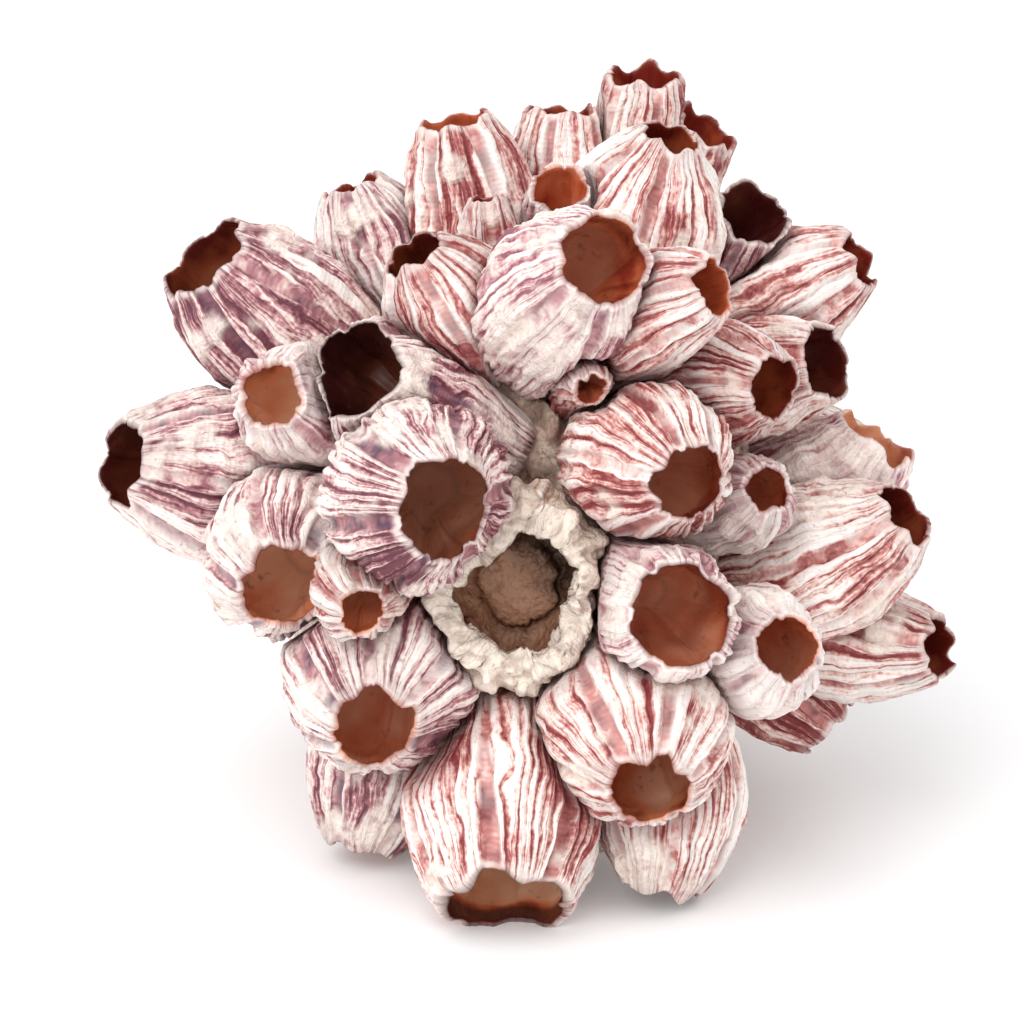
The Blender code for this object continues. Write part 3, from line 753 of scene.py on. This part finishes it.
        # The creases between the old shell's lumps are darkened in the finish as painted shade.
        rows, crease_shade = swollen(rows, 0.85 * (0.4 + 0.6 * ease(-below_lip, -8, -1)), 4.1, 240)
    lowest = np.concatenate([np.zeros(rows_out + len(over)), np.full(under, 0.8)])
    rows[..., 2] = np.maximum(rows[..., 2], lowest[:, None])

    def stack(out_values, lip_value, in_values, dish_value):
        values = zip((out_values, lip_value, in_values, dish_value), parts)
        return np.concatenate([np.broadcast_to(value, at.shape) for value, (at, _) in values])

    turn_all = stack(turn, turn[-1], even_in, even_in[-1])
    run = stack(down, 0.0, -inward, -inward[-1])
    ring_share = stack(1.0, 1.0, 1.0, dish[:, None])
    size = shell.belly_radius / 12
    flow = [size * ring_share * np.cos(turn_all), size * ring_share * np.sin(turn_all), run / 90 + 3.1 * n]
    closing = np.concatenate([turn_all, turn_all[:, :1] + TURN], axis=1) * ribs / TURN
    along = np.concatenate([run, run[:, :1]], axis=1) / 10
    deep = inward / inward[-1].max()
    tint = WALL_LIGHT.get(key, (n * GOLDEN_SHARE) % 1)
    # Where a neighbour crowds the wall: the finish darkens it there as painted shade between shells.
    tucked = 1 - ease(limit - reach, 0.2, 3.2)
    # A floor painted lighter than its wall, as light falling in.
    floor_painted_light, floor_from = INSIDE_FLOOR_PAINTED_LIGHT.get(key, (light, 0.5))
    wall_painted_light = light + (floor_painted_light - light) * ease(deep, floor_from - 0.04, floor_from + 0.04)
    marks = {
        "flow": (np.stack(flow, axis=-1), (0, 0, 3.1 * n), (0, 0, -0.2 + 3.1 * n)),
        "seam": (stack(seam, seam[-1], seam_in, seam_in[-1]), 0, 0),
        "chalk": (stack(chalk, chalk[-1], 0.0, 0.0), 0, 0),
        "growth": (stack(down, 0.0, inward, inward[-1]), 0, 0),
        "deep": (stack(0.0, 0.0, 0.02 + 0.98 * deep, 1.0), 0, 1),
        "within": (stack(0.0, 0.9 * over, 1.0, 1.0) * (0.1 if old else 1) ** (below_lip < 2), 0, 1),
        "layer": (stack(layer, layer[-1], 0.0, 0.0), 0, 0),
        # tucked carries painted shade: where shells crowd each other, and in the old shell's creases.
        "tucked": (np.maximum(stack(tucked, 0.0, 0.0, 0.0), crease_shade), 1, 0),
        # Painted shade at the floor's outer ring, where it meets the wall.
        "shade_inside": (stack(0.0, 0.0, 0.0, ease(dish, 0.82, 0.95)[:, None]), 0, 0),
        "tint": (stack(tint, tint, tint, tint), tint, tint),
        "light": (stack(light, light, wall_painted_light, floor_painted_light), light, floor_painted_light),
    }
    if old:
        spoke = shell.spokes(t[-1], angle)
        # Painted shade on one side of the old shell's inside wall and floor, and in the crack round its
        # floor.
        side_shade = 0.85 * ease(spoke @ unit(turned(SHADED_SIDE)), 0.1, 0.8)
        rim_crack_shade = np.exp(-(((dish - 0.9) / 0.05) ** 2))[:, None]
        rim_crack_shade = rim_crack_shade * ease(spoke @ unit(turned(CRACKED_SIDE)), -0.5, 0.2)
        on_floor = np.maximum(side_shade * dish[:, None], rim_crack_shade)
        marks["shade_inside"] = (stack(0.0, 0.0, side_shade * ease(inward, 2, 6), on_floor), 0, 0)
    foot_middle = shell.along(leaving(shell))
    floor_middle = shell.along(floor + lift[-1] / shell.length)
    return joined_mesh(name, rows, foot_middle, floor_middle, marks, np.stack([closing, along], axis=-1))


def crust_surface(name, shells):
    """The crust as distance from the heart: the base's reach, raised by lumps where no shell is over it."""
    around, up = CRUST_AROUND, CRUST_UP
    turn = np.arange(around) * TURN / around
    cut_radius = BASE_WIDTH * math.sqrt(1 - (HEART[2] / BASE_BELOW) ** 2)
    lowest = -math.atan2(HEART[2], cut_radius)
    slope = np.linspace(lowest, math.pi / 2 - 0.02, up)
    flat, level = np.cos(slope)[:, None], np.sin(slope)[:, None]
    way = np.stack([flat * np.cos(turn), flat * np.sin(turn), np.broadcast_to(level, (up, around))], axis=-1)
    reach = base_reach(way)

    coarse_way, coarse_reach = way[::CRUST_STEP, ::CRUST_STEP], reach[::CRUST_STEP, ::CRUST_STEP]
    room = np.zeros(coarse_reach.shape)
    open_ = np.ones(coarse_reach.shape, bool)
    for rise in np.arange(0, TALLEST_LUMP, LUMP_STEP):
        points = HEART + coarse_way * (coarse_reach + rise)[..., None]
        near = np.min([sh.closeness(points) for sh in shells], axis=0)
        open_ &= near > 1.04
        room = np.where(open_, rise, room)
    room = grid_read(room, np.broadcast_to(np.linspace(0, 1, up)[:, None], (up, around)))

    x, y, z = np.moveaxis(HEART + way * reach[..., None], -1, 0)
    slow = noise(x / 8, y / 8, z / 8, 71)
    lumps = noise(x / 3.2, y / 3.2, z / 3.2, 72)
    rough = noise(x / 1.3, y / 1.3, z / 1.3, 73) + 0.5 * noise(x / 0.7, y / 0.7, z / 0.7, 74)
    raised = soft_least(room, 4.5 + 2.5 * slow, 1.5)
    reach = reach + np.maximum(raised, -0.3) + 0.75 * lumps + 0.4 * rough - 0.3
    points = HEART + way * reach[..., None]
    points[..., 2] = np.maximum(points[..., 2], 0)
    points[0, :, 2] = 0
    flow = np.stack([x / 12, y / 12, z / 12], axis=-1)
    marks = {
        "flow": (flow, (0, 0, 0), (0, 0, 3)),
        "crest": (0.5 + 0.5 * lumps, 0.5, 0.5),
    }
    top = HEART + np.array([0, 0, reach[-1].mean()])
    return joined_mesh(name, points, HEART * (1, 1, 0), top, marks)


class Graph:
    """A short way to write a material's nodes: each call adds one node and returns its first output."""

    def __init__(self, name):
        self.material = bpy.data.materials.new(name)
        self.material.use_nodes = True
        self.tree = self.material.node_tree
        self.shader = self.tree.nodes["Principled BSDF"]

    def put(self, socket, value):
        if isinstance(value, bpy.types.NodeSocket):
            self.tree.links.new(value, socket)
        elif isinstance(value, tuple) and len(value) == 3 and socket.type == "RGBA":
            socket.default_value = (*value, 1)
        else:
            socket.default_value = value

    def add(self, kind, inputs, **settings_):
        node = self.tree.nodes.new("ShaderNode" + kind)
        for key, value in settings_.items():
            setattr(node, key, value)
        for key, value in inputs.items():
            self.put(node.inputs[key], value)
        return node

    def mark(self, name, vector=False):
        node = self.add("Attribute", {}, attribute_name=name)
        return node.outputs["Vector" if vector else "Fac"]

    def places(self):
        return self.add("TexCoord", {}).outputs["Object"]

    def noise(self, vector, scale, detail=2.0, rough=0.5):
        inputs = {"Vector": vector, "Scale": scale, "Detail": detail, "Roughness": rough}
        return self.add("TexNoise", inputs).outputs["Fac"]

    def math(self, operation, a, b=0.0, c=0.0, clamp=False):
        node = self.add("Math", {0: a, 1: b}, operation=operation, use_clamp=clamp)
        if operation == "MULTIPLY_ADD":
            self.put(node.inputs[2], c)
        return node.outputs[0]

    def total(self, start, *parts):
        """A start value plus each part times its share."""
        for part, share in parts:
            start = self.math("MULTIPLY_ADD", part, share, start)
        return start

    def span(self, value, low, high, to_low=0.0, to_high=1.0):
        inputs = {"Value": value, "From Min": low, "From Max": high, "To Min": to_low, "To Max": to_high}
        return self.add("MapRange", inputs, interpolation_type="SMOOTHSTEP").outputs["Result"]

    def ramp(self, value, stops):
        node = self.add("ValToRGB", {"Fac": value})
        band = node.color_ramp
        while len(band.elements) < len(stops):
            band.elements.new(1.0)
        for element, (place, colour) in zip(band.elements, stops):
            element.position = place
            element.color = (*colour, 1)
        return node.outputs["Color"]

    def mix(self, share, a, b, blend="MIX"):
        node = self.add("Mix", {}, data_type="RGBA", blend_type=blend)
        self.put(node.inputs["Factor"], share)
        self.put(node.inputs["A"], a)
        self.put(node.inputs["B"], b)
        return node.outputs["Result"]

    def bump(self, height, distance, strength):
        inputs = {"Height": height, "Distance": distance, "Strength": strength}
        return self.add("Bump", inputs).outputs["Normal"]


def srgb(code):
    """A colour from its six hex digits, as the linear values that shaders take."""
    values = [int(code[k : k + 2], 16) / 255 for k in (0, 2, 4)]
    return tuple(v / 12.92 if v < 0.04045 else ((v + 0.055) / 1.055) ** 2.4 for v in values)


# For each finish: groove, stripe, pale and white of the wall, then the seams and the chalk.
PALETTES = {
    "rosy": ("883A3C", "C27C76", "F0D2CA", "FDF8F3", "7E4044", "FDF3E8"),
    "plum": ("6C3A46", "B27A80", "EACFC9", "FCF5F0", "5A4256", "FBF0E6"),
    "chalky": ("965A68", "CE9EA2", "F0DAD5", "FEF8F3", "8A5868", "FEF4EA"),
    "eroded": ("9A7C6A", "DCC4B0", "F6E6D6", "FFF6EC", "85705F", "FFF3E4"),
}

# The inside's rim, wall and floor where it is dark, middling, pale and cream: shaded and lit copies of one
# brown, as painted light and shade. Their darker rim and paler floor are partly the inside's own colours,
# partly painted light.
INSIDE_DARK = ("351010", "3E1914", "64301F")
INSIDE_WARM = ("7A2418", "C8643E", "EAA684")
INSIDE_PALE = ("964028", "EE9A6A", "FFDCBC")
INSIDE_CREAM = ("B8886E", "F2D4B8", "FFF2E0")
INSIDE_OLD = ("3C201A", "7E4C38", "B88A6E")


def shell_finish(kind):
    """Striped wall, dark seams, chalk and a brown inside, from the marks that each shell's mesh carries; with
    painted shade between shells, at layer steps and in hollows inside, and painted light on the inside
    floors.
    """
    groove, stripe, pale, white, seam_colour, chalk_colour = map(srgb, PALETTES[kind])
    g = Graph(kind + "_shell_finish")
    flow, places = g.mark("flow", vector=True), g.places()
    seam, chalk, growth, deep, within = map(g.mark, ("seam", "chalk", "growth", "deep", "within"))
    shade_inside, tint, light, layer, tucked = map(g.mark, ("shade_inside", "tint", "light", "layer", "tucked"))
    rib_place = g.add("SeparateXYZ", {0: g.add("UVMap", {}, uv_map="ribs").outputs["UV"]}).outputs["X"]

    bands = g.noise(flow, 2.6, 1.0, 0.5)
    lines = g.noise(flow, 9.0, 2.0, 0.55)
    hairs = g.noise(flow, 30.0, 2.0, 0.6)
    patches = g.noise(places, 80.0, 2.0, 0.55)
    mottled = g.noise(places, 300.0, 3.0, 0.62)
    dust = g.noise(places, 1100.0, 2.0, 0.6)
    specks = g.noise(places, 900.0, 2.0, 0.62)

    wave = g.math("COSINE", g.math("MULTIPLY", rib_place, TURN))
    fine_place = g.math("MULTIPLY_ADD", lines, 13.0, g.math("MULTIPLY", rib_place, 2 * TURN))
    fine = g.math("COSINE", fine_place)
    between = g.span(g.math("MULTIPLY_ADD", lines, 3.2, g.math("MULTIPLY", wave, -1.0)), 1.5, 2.4)
    thin = g.span(g.math("MULTIPLY_ADD", hairs, 1.2, fine), 0.95, 1.5)
    crest = g.span(g.math("MULTIPLY_ADD", hairs, -1.2, wave), 0.1, 0.5)
    # Painted shade: the wall is darker where one layer steps down to the next.
    ledge_shade = g.span(g.math("COSINE", g.math("MULTIPLY", layer, TURN)), 0.3, -0.7)
    shift = g.math("SINE", g.math("MULTIPLY_ADD", layer, 2.2, g.math("MULTIPLY", tint, 9.0)))
    tone = g.total(0.65, (between, -0.3), (thin, -0.2), (crest, 0.16), (ledge_shade, -0.16), (shift, 0.07))
    for part, share in ((bands, 1.5), (lines, 1.3), (hairs, 0.9), (patches, 1.1), (dust, 0.75), (tint, 0.32)):
        tone = g.total(tone, (g.math("SUBTRACT", part, 0.5), share))
    wall_colour = g.ramp(tone, [(0.0, groove), (0.26, stripe), (0.5, pale), (0.76, white)])

    across = g.math("SINE", g.math("MULTIPLY", growth, 7.0))
    seam_shade = g.math("MULTIPLY_ADD", across, 0.02, g.noise(places, 240.0, 2.0, 0.6))
    seam_tone = g.ramp(seam_shade, [(0.36, seam_colour), (0.58, stripe), (0.74, pale)])
    seam_share = g.math("MULTIPLY", seam, g.span(g.noise(flow, 1.6, 1.0), 0.34, 0.52, 0.3, 0.9))
    colour = g.mix(seam_share, wall_colour, seam_tone)

    pits = g.span(g.noise(places, 420.0, 3.0, 0.65), 0.3, 0.62)
    chalk_tone = g.mix(pits, g.mix(0.7, stripe, chalk_colour), chalk_colour)
    old = kind == "eroded"
    dirt = g.span(mottled, 0.52 if old else 0.6, 0.7, 0.0, 0.7 if old else 0.45)
    chalk_tone = g.mix(dirt, chalk_tone, srgb("7E5844" if old else "A07A66"))
    chalk_share = g.math("MULTIPLY", chalk, g.span(g.noise(places, 260.0, 2.0, 0.6), 0.3, 0.55, 0.3, 0.92))
    colour = g.mix(chalk_share, colour, chalk_tone)
    lip_share = 0.25 if old else 0.85
    worn_lip = g.span(lines, 0.35, 0.6, 0.2 * lip_share, lip_share)
    worn_lip = g.math("MULTIPLY", g.span(growth, 1.1, 0.2), worn_lip)
    colour = g.mix(worn_lip, colour, g.mix(0.5, pale, white))
    colour = g.mix(g.span(specks, 0.62, 0.76, 0.0, 0.4), colour, groove)
    # Painted shade: dark brown where a neighbour crowds the wall and in the old shell's creases.
    gap_shade_colour = g.mix(0.8, srgb("50241E"), groove)
    colour = g.mix(g.math("MULTIPLY", tucked, 0.42 if old else 0.38), colour, gap_shade_colour)

    cloud = g.math("MULTIPLY", g.math("SUBTRACT", patches, 0.5), 1.7)
    cloud = g.math("MULTIPLY_ADD", g.math("SUBTRACT", mottled, 0.5), 1.6 if old else 0.4, cloud)
    # deep makes the rim darker and the floor paler: partly the inside's own colours, partly painted light
    # falling in.
    cloud = g.math("ADD", cloud, deep)
    insides = (INSIDE_OLD,) if old else (INSIDE_DARK, INSIDE_WARM, INSIDE_PALE, INSIDE_CREAM)
    tones = [g.ramp(cloud, list(zip((0.0, 0.3, 0.85), map(srgb, colours)))) for colours in insides]
    inside = tones[0]
    # Painted light and shade: the mark light picks between the shaded and the lit copies of the inside.
    for k, tone in enumerate(tones[1:]):
        inside = g.mix(g.math("MULTIPLY_ADD", light, 2.0, -float(k), clamp=True), inside, tone)
    stains = g.span(mottled, 0.58, 0.72, 0.0, 0.5)
    inside = g.mix(stains, inside, srgb("6E3426"))
    # Painted shade: near black in the old shell's crack and on its shaded side, and where a floor meets its
    # wall.
    inside = g.mix(shade_inside, inside, srgb("2A1C14"))
    colour = g.mix(within, colour, inside)

    g.put(g.shader.inputs["Base Color"], colour)
    dull = g.math("MULTIPLY_ADD", chalk, 0.25, 0.5)
    dull = g.math("MULTIPLY_ADD", seam_share, -0.16, dull)
    g.put(g.shader.inputs["Roughness"], g.math("MULTIPLY_ADD", within, -0.12, dull))
    g.shader.inputs["Specular IOR Level"].default_value = 0.35

    relief = g.total(0.0, (hairs, 0.4), (lines, 0.5), (between, -0.12), (across, 0.03), (thin, -0.1))
    grain = g.math("MULTIPLY", g.noise(places, 560.0, 3.0, 0.6), g.math("MULTIPLY_ADD", chalk, 1.2, 0.35))
    smoother = g.math("MULTIPLY_ADD", within, -1.0 if old else -0.75, 1.0)
    relief = g.math("MULTIPLY", g.math("ADD", relief, grain), smoother)
    if old:
        rough = g.math("MULTIPLY_ADD", within, 1.6, 1.6)
        relief = g.math("ADD", g.math("MULTIPLY", g.noise(places, 260.0, 3.0, 0.65), rough), relief)
    g.put(g.shader.inputs["Normal"], g.bump(relief, 0.0006, 0.9))
    return g.material


def crust_finish():
    """Chalky cream crust with pits, rosy stains, and painted shade in the hollows between its lumps."""
    g = Graph("old_crust_finish")
    places, crest = g.places(), g.mark("crest")
    stains = g.noise(places, 110.0, 3.0, 0.6)
    colour = g.ramp(stains, [(0.3, srgb("A06C68")), (0.46, srgb("D2B4A4")), (0.66, srgb("EFE4D2"))])
    # Painted shade: dark brown in the hollows between the lumps.
    hollow_shade = g.span(crest, 0.15, 0.6)
    colour = g.mix(hollow_shade, srgb("5C3A32"), colour)
    pits = g.noise(places, 700.0, 4.0, 0.7)
    colour = g.mix(g.span(pits, 0.6, 0.4), srgb("A89080"), colour)
    g.put(g.shader.inputs["Base Color"], colour)
    g.shader.inputs["Roughness"].default_value = 0.85
    g.shader.inputs["Specular IOR Level"].default_value = 0.2
    g.put(g.shader.inputs["Normal"], g.bump(g.math("ADD", pits, stains), 0.0009, 0.9))
    return g.material


def all_shells():
    """Every shell by name, in the order that fixes its number and so its roll."""
    shells = {}
    for name, (kind, mouth, facing, *sizes) in FRONT_SHELLS.items():
        root = [placed(p) for p in sizes[3:]]
        shells[name] = Shell(len(shells), kind, placed(mouth), turned(facing), *sizes[:3], *root)
        shells[name].ribs = RIB_COUNT.get(name, 0)
    for name, (kind, mouth, facing, *sizes) in BACK_SHELLS.items():
        shells[name] = Shell(len(shells), kind, np.array(mouth, float), np.array(facing), *sizes)
    return shells


def dress_shells(names, spacing):
    """Makes each named shell's skin, puts its finish on and sets it in place of its solid."""
    shells = all_shells()
    finishes = {}
    for name in names:
        shell = shells[name]
        others = [other for key, other in shells.items() if key != name and shell.touches(other)]
        piece = shell_surface(name + "_skin", shell, others, spacing)
        if shell.kind not in finishes:
            known = bpy.data.materials.get(shell.kind + "_shell_finish")
            finishes[shell.kind] = known or shell_finish(shell.kind)
        piece.data.materials.append(finishes[shell.kind])
        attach(piece, "root")
        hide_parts(name)


class BarnacleSettings(bpy.types.PropertyGroup):
    rib_height: bpy.props.FloatProperty(
        name="Rib height", description="How far the ribs stand over the grooves",
        default=1.1 * MM, min=0.0, max=2 * MM, subtype="DISTANCE", unit="LENGTH", precision=5,
    )
    stretch: bpy.props.FloatProperty(
        name="Stretch", description="How much farther apart points are along a shell than round it",
        default=2.4, min=1.0, max=5.0,
    )
    front_spacing: bpy.props.FloatProperty(
        name="Front spacing", description="Distance between points on the shells in front",
        default=0.4 * MM, min=0.3 * MM, max=2 * MM, subtype="DISTANCE", unit="LENGTH", precision=5,
    )
    back_spacing: bpy.props.FloatProperty(
        name="Back spacing", description="Distance between points on the shells round the back",
        default=0.66 * MM, min=0.3 * MM, max=2 * MM, subtype="DISTANCE", unit="LENGTH", precision=5,
    )
    floor_colour: bpy.props.FloatVectorProperty(
        name="Floor colour", description="Colour of the floor under the cluster",
        default=(0.84, 0.846, 0.852), min=0.0, max=1.0, subtype="COLOR", size=3,
    )
    sun_strength: bpy.props.FloatProperty(
        name="Main light", description="Strength of the soft light from the upper left",
        default=1.7, min=0.0, max=20.0,
    )
    sky_strength: bpy.props.FloatProperty(
        name="Fill light", description="Strength of the even light from all round",
        default=0.98, min=0.0, max=5.0,
    )


def settings():
    return bpy.context.scene.barnacle_settings


class BARNACLE_OT_front_shells(bpy.types.Operator):
    """Make the shells on the side that faces the viewer"""

    bl_idname = "barnacle.front_shells"
    bl_label = "Front shells"

    def execute(self, context):
        dress_shells(list(FRONT_SHELLS), settings().front_spacing / MM)
        return {"FINISHED"}


class BARNACLE_OT_back_shells(bpy.types.Operator):
    """Make the shells round the back and sides"""

    bl_idname = "barnacle.back_shells"
    bl_label = "Back shells"

    def execute(self, context):
        dress_shells(list(BACK_SHELLS), settings().back_spacing / MM)
        return {"FINISHED"}


class BARNACLE_OT_crust(bpy.types.Operator):
    """Make the crust that the shells grow from"""

    bl_idname = "barnacle.crust"
    bl_label = "Crust"

    def execute(self, context):
        piece = crust_surface("grown_base_skin", list(all_shells().values()))
        piece.data.materials.append(crust_finish())
        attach(piece, "root")
        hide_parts("grown_base")
        return {"FINISHED"}


class BARNACLE_OT_stage(bpy.types.Operator):
    """Set the floor, the lights and the camera"""

    bl_idname = "barnacle.stage"
    bl_label = "Stage"

    def execute(self, context):
        scene = context.scene
        scene.view_settings.view_transform = "Standard"
        mesh = bpy.data.meshes.new("floor")
        corners = [(x * FLOOR_REACH, y * FLOOR_REACH, 0) for x, y in ((-1, -1), (1, -1), (1, 1), (-1, 1))]
        mesh.from_pydata(corners, [], [(0, 1, 2, 3)])
        floor = bpy.data.objects.new("floor", mesh)
        scene.collection.objects.link(floor)
        g = Graph("floor_finish")
        g.put(g.shader.inputs["Base Color"], tuple(settings().floor_colour))
        g.shader.inputs["Roughness"].default_value = 0.9
        g.shader.inputs["Specular IOR Level"].default_value = 0.1
        g.shader.inputs["Emission Color"].default_value = (1.0, 1.0, 1.0, 1)
        g.shader.inputs["Emission Strength"].default_value = FLOOR_GLOW
        mesh.materials.append(g.material)

        world = bpy.data.worlds.new("soft_sky")
        world.use_nodes = True
        sky = world.node_tree.nodes["Background"]
        sky.inputs["Color"].default_value = (1.0, 1.0, 1.0, 1)
        sky.inputs["Strength"].default_value = settings().sky_strength
        scene.world = world

        light = bpy.data.lights.new("main_light", "SUN")
        light.energy = settings().sun_strength
        light.angle = LIGHT_SPREAD
        light.color = LIGHT_COLOUR
        lamp = bpy.data.objects.new("main_light", light)
        scene.collection.objects.link(lamp)
        lamp.rotation_euler = LIGHT_TURN

        lens = bpy.data.cameras.new("camera")
        lens.sensor_width = FILM_WIDTH
        lens.lens = FILM_WIDTH * VIEW_DISTANCE / VIEW_WIDTH
        lens.clip_end = FARTHEST_SEEN
        camera = bpy.data.objects.new("camera", lens)
        scene.collection.objects.link(camera)
        back = turned((0, 0, VIEW_DISTANCE))
        camera.location = (PICTURE_CENTRE + back) * MM
        camera.rotation_euler = (math.pi / 2 - VIEW_TILT, 0, 0)
        scene.camera = camera
        return {"FINISHED"}


class BARNACLE_PT_panel(bpy.types.Panel):
    bl_idname = "BARNACLE_PT_panel"
    bl_label = "Barnacle cluster"
    bl_space_type = "VIEW_3D"
    bl_region_type = "UI"
    bl_category = "Barnacles"

    def draw(self, context):
        for key in BarnacleSettings.__annotations__:
            self.layout.prop(context.scene.barnacle_settings, key)
        for step in STEPS:
            self.layout.operator(step.bl_idname)


STEPS = (BARNACLE_OT_front_shells, BARNACLE_OT_back_shells, BARNACLE_OT_crust, BARNACLE_OT_stage)
CLASSES = (BarnacleSettings, *STEPS, BARNACLE_PT_panel)


def register():
    for cls in CLASSES:
        bpy.utils.register_class(cls)
    bpy.types.Scene.barnacle_settings = bpy.props.PointerProperty(type=BarnacleSettings)


def unregister():
    del bpy.types.Scene.barnacle_settings
    for cls in reversed(CLASSES):
        bpy.utils.unregister_class(cls)


def main():
    register()
    bpy.ops.barnacle.front_shells()
    bpy.ops.barnacle.back_shells()
    bpy.ops.barnacle.crust()
    bpy.ops.barnacle.stage()


if __name__ == "__main__":
    main()
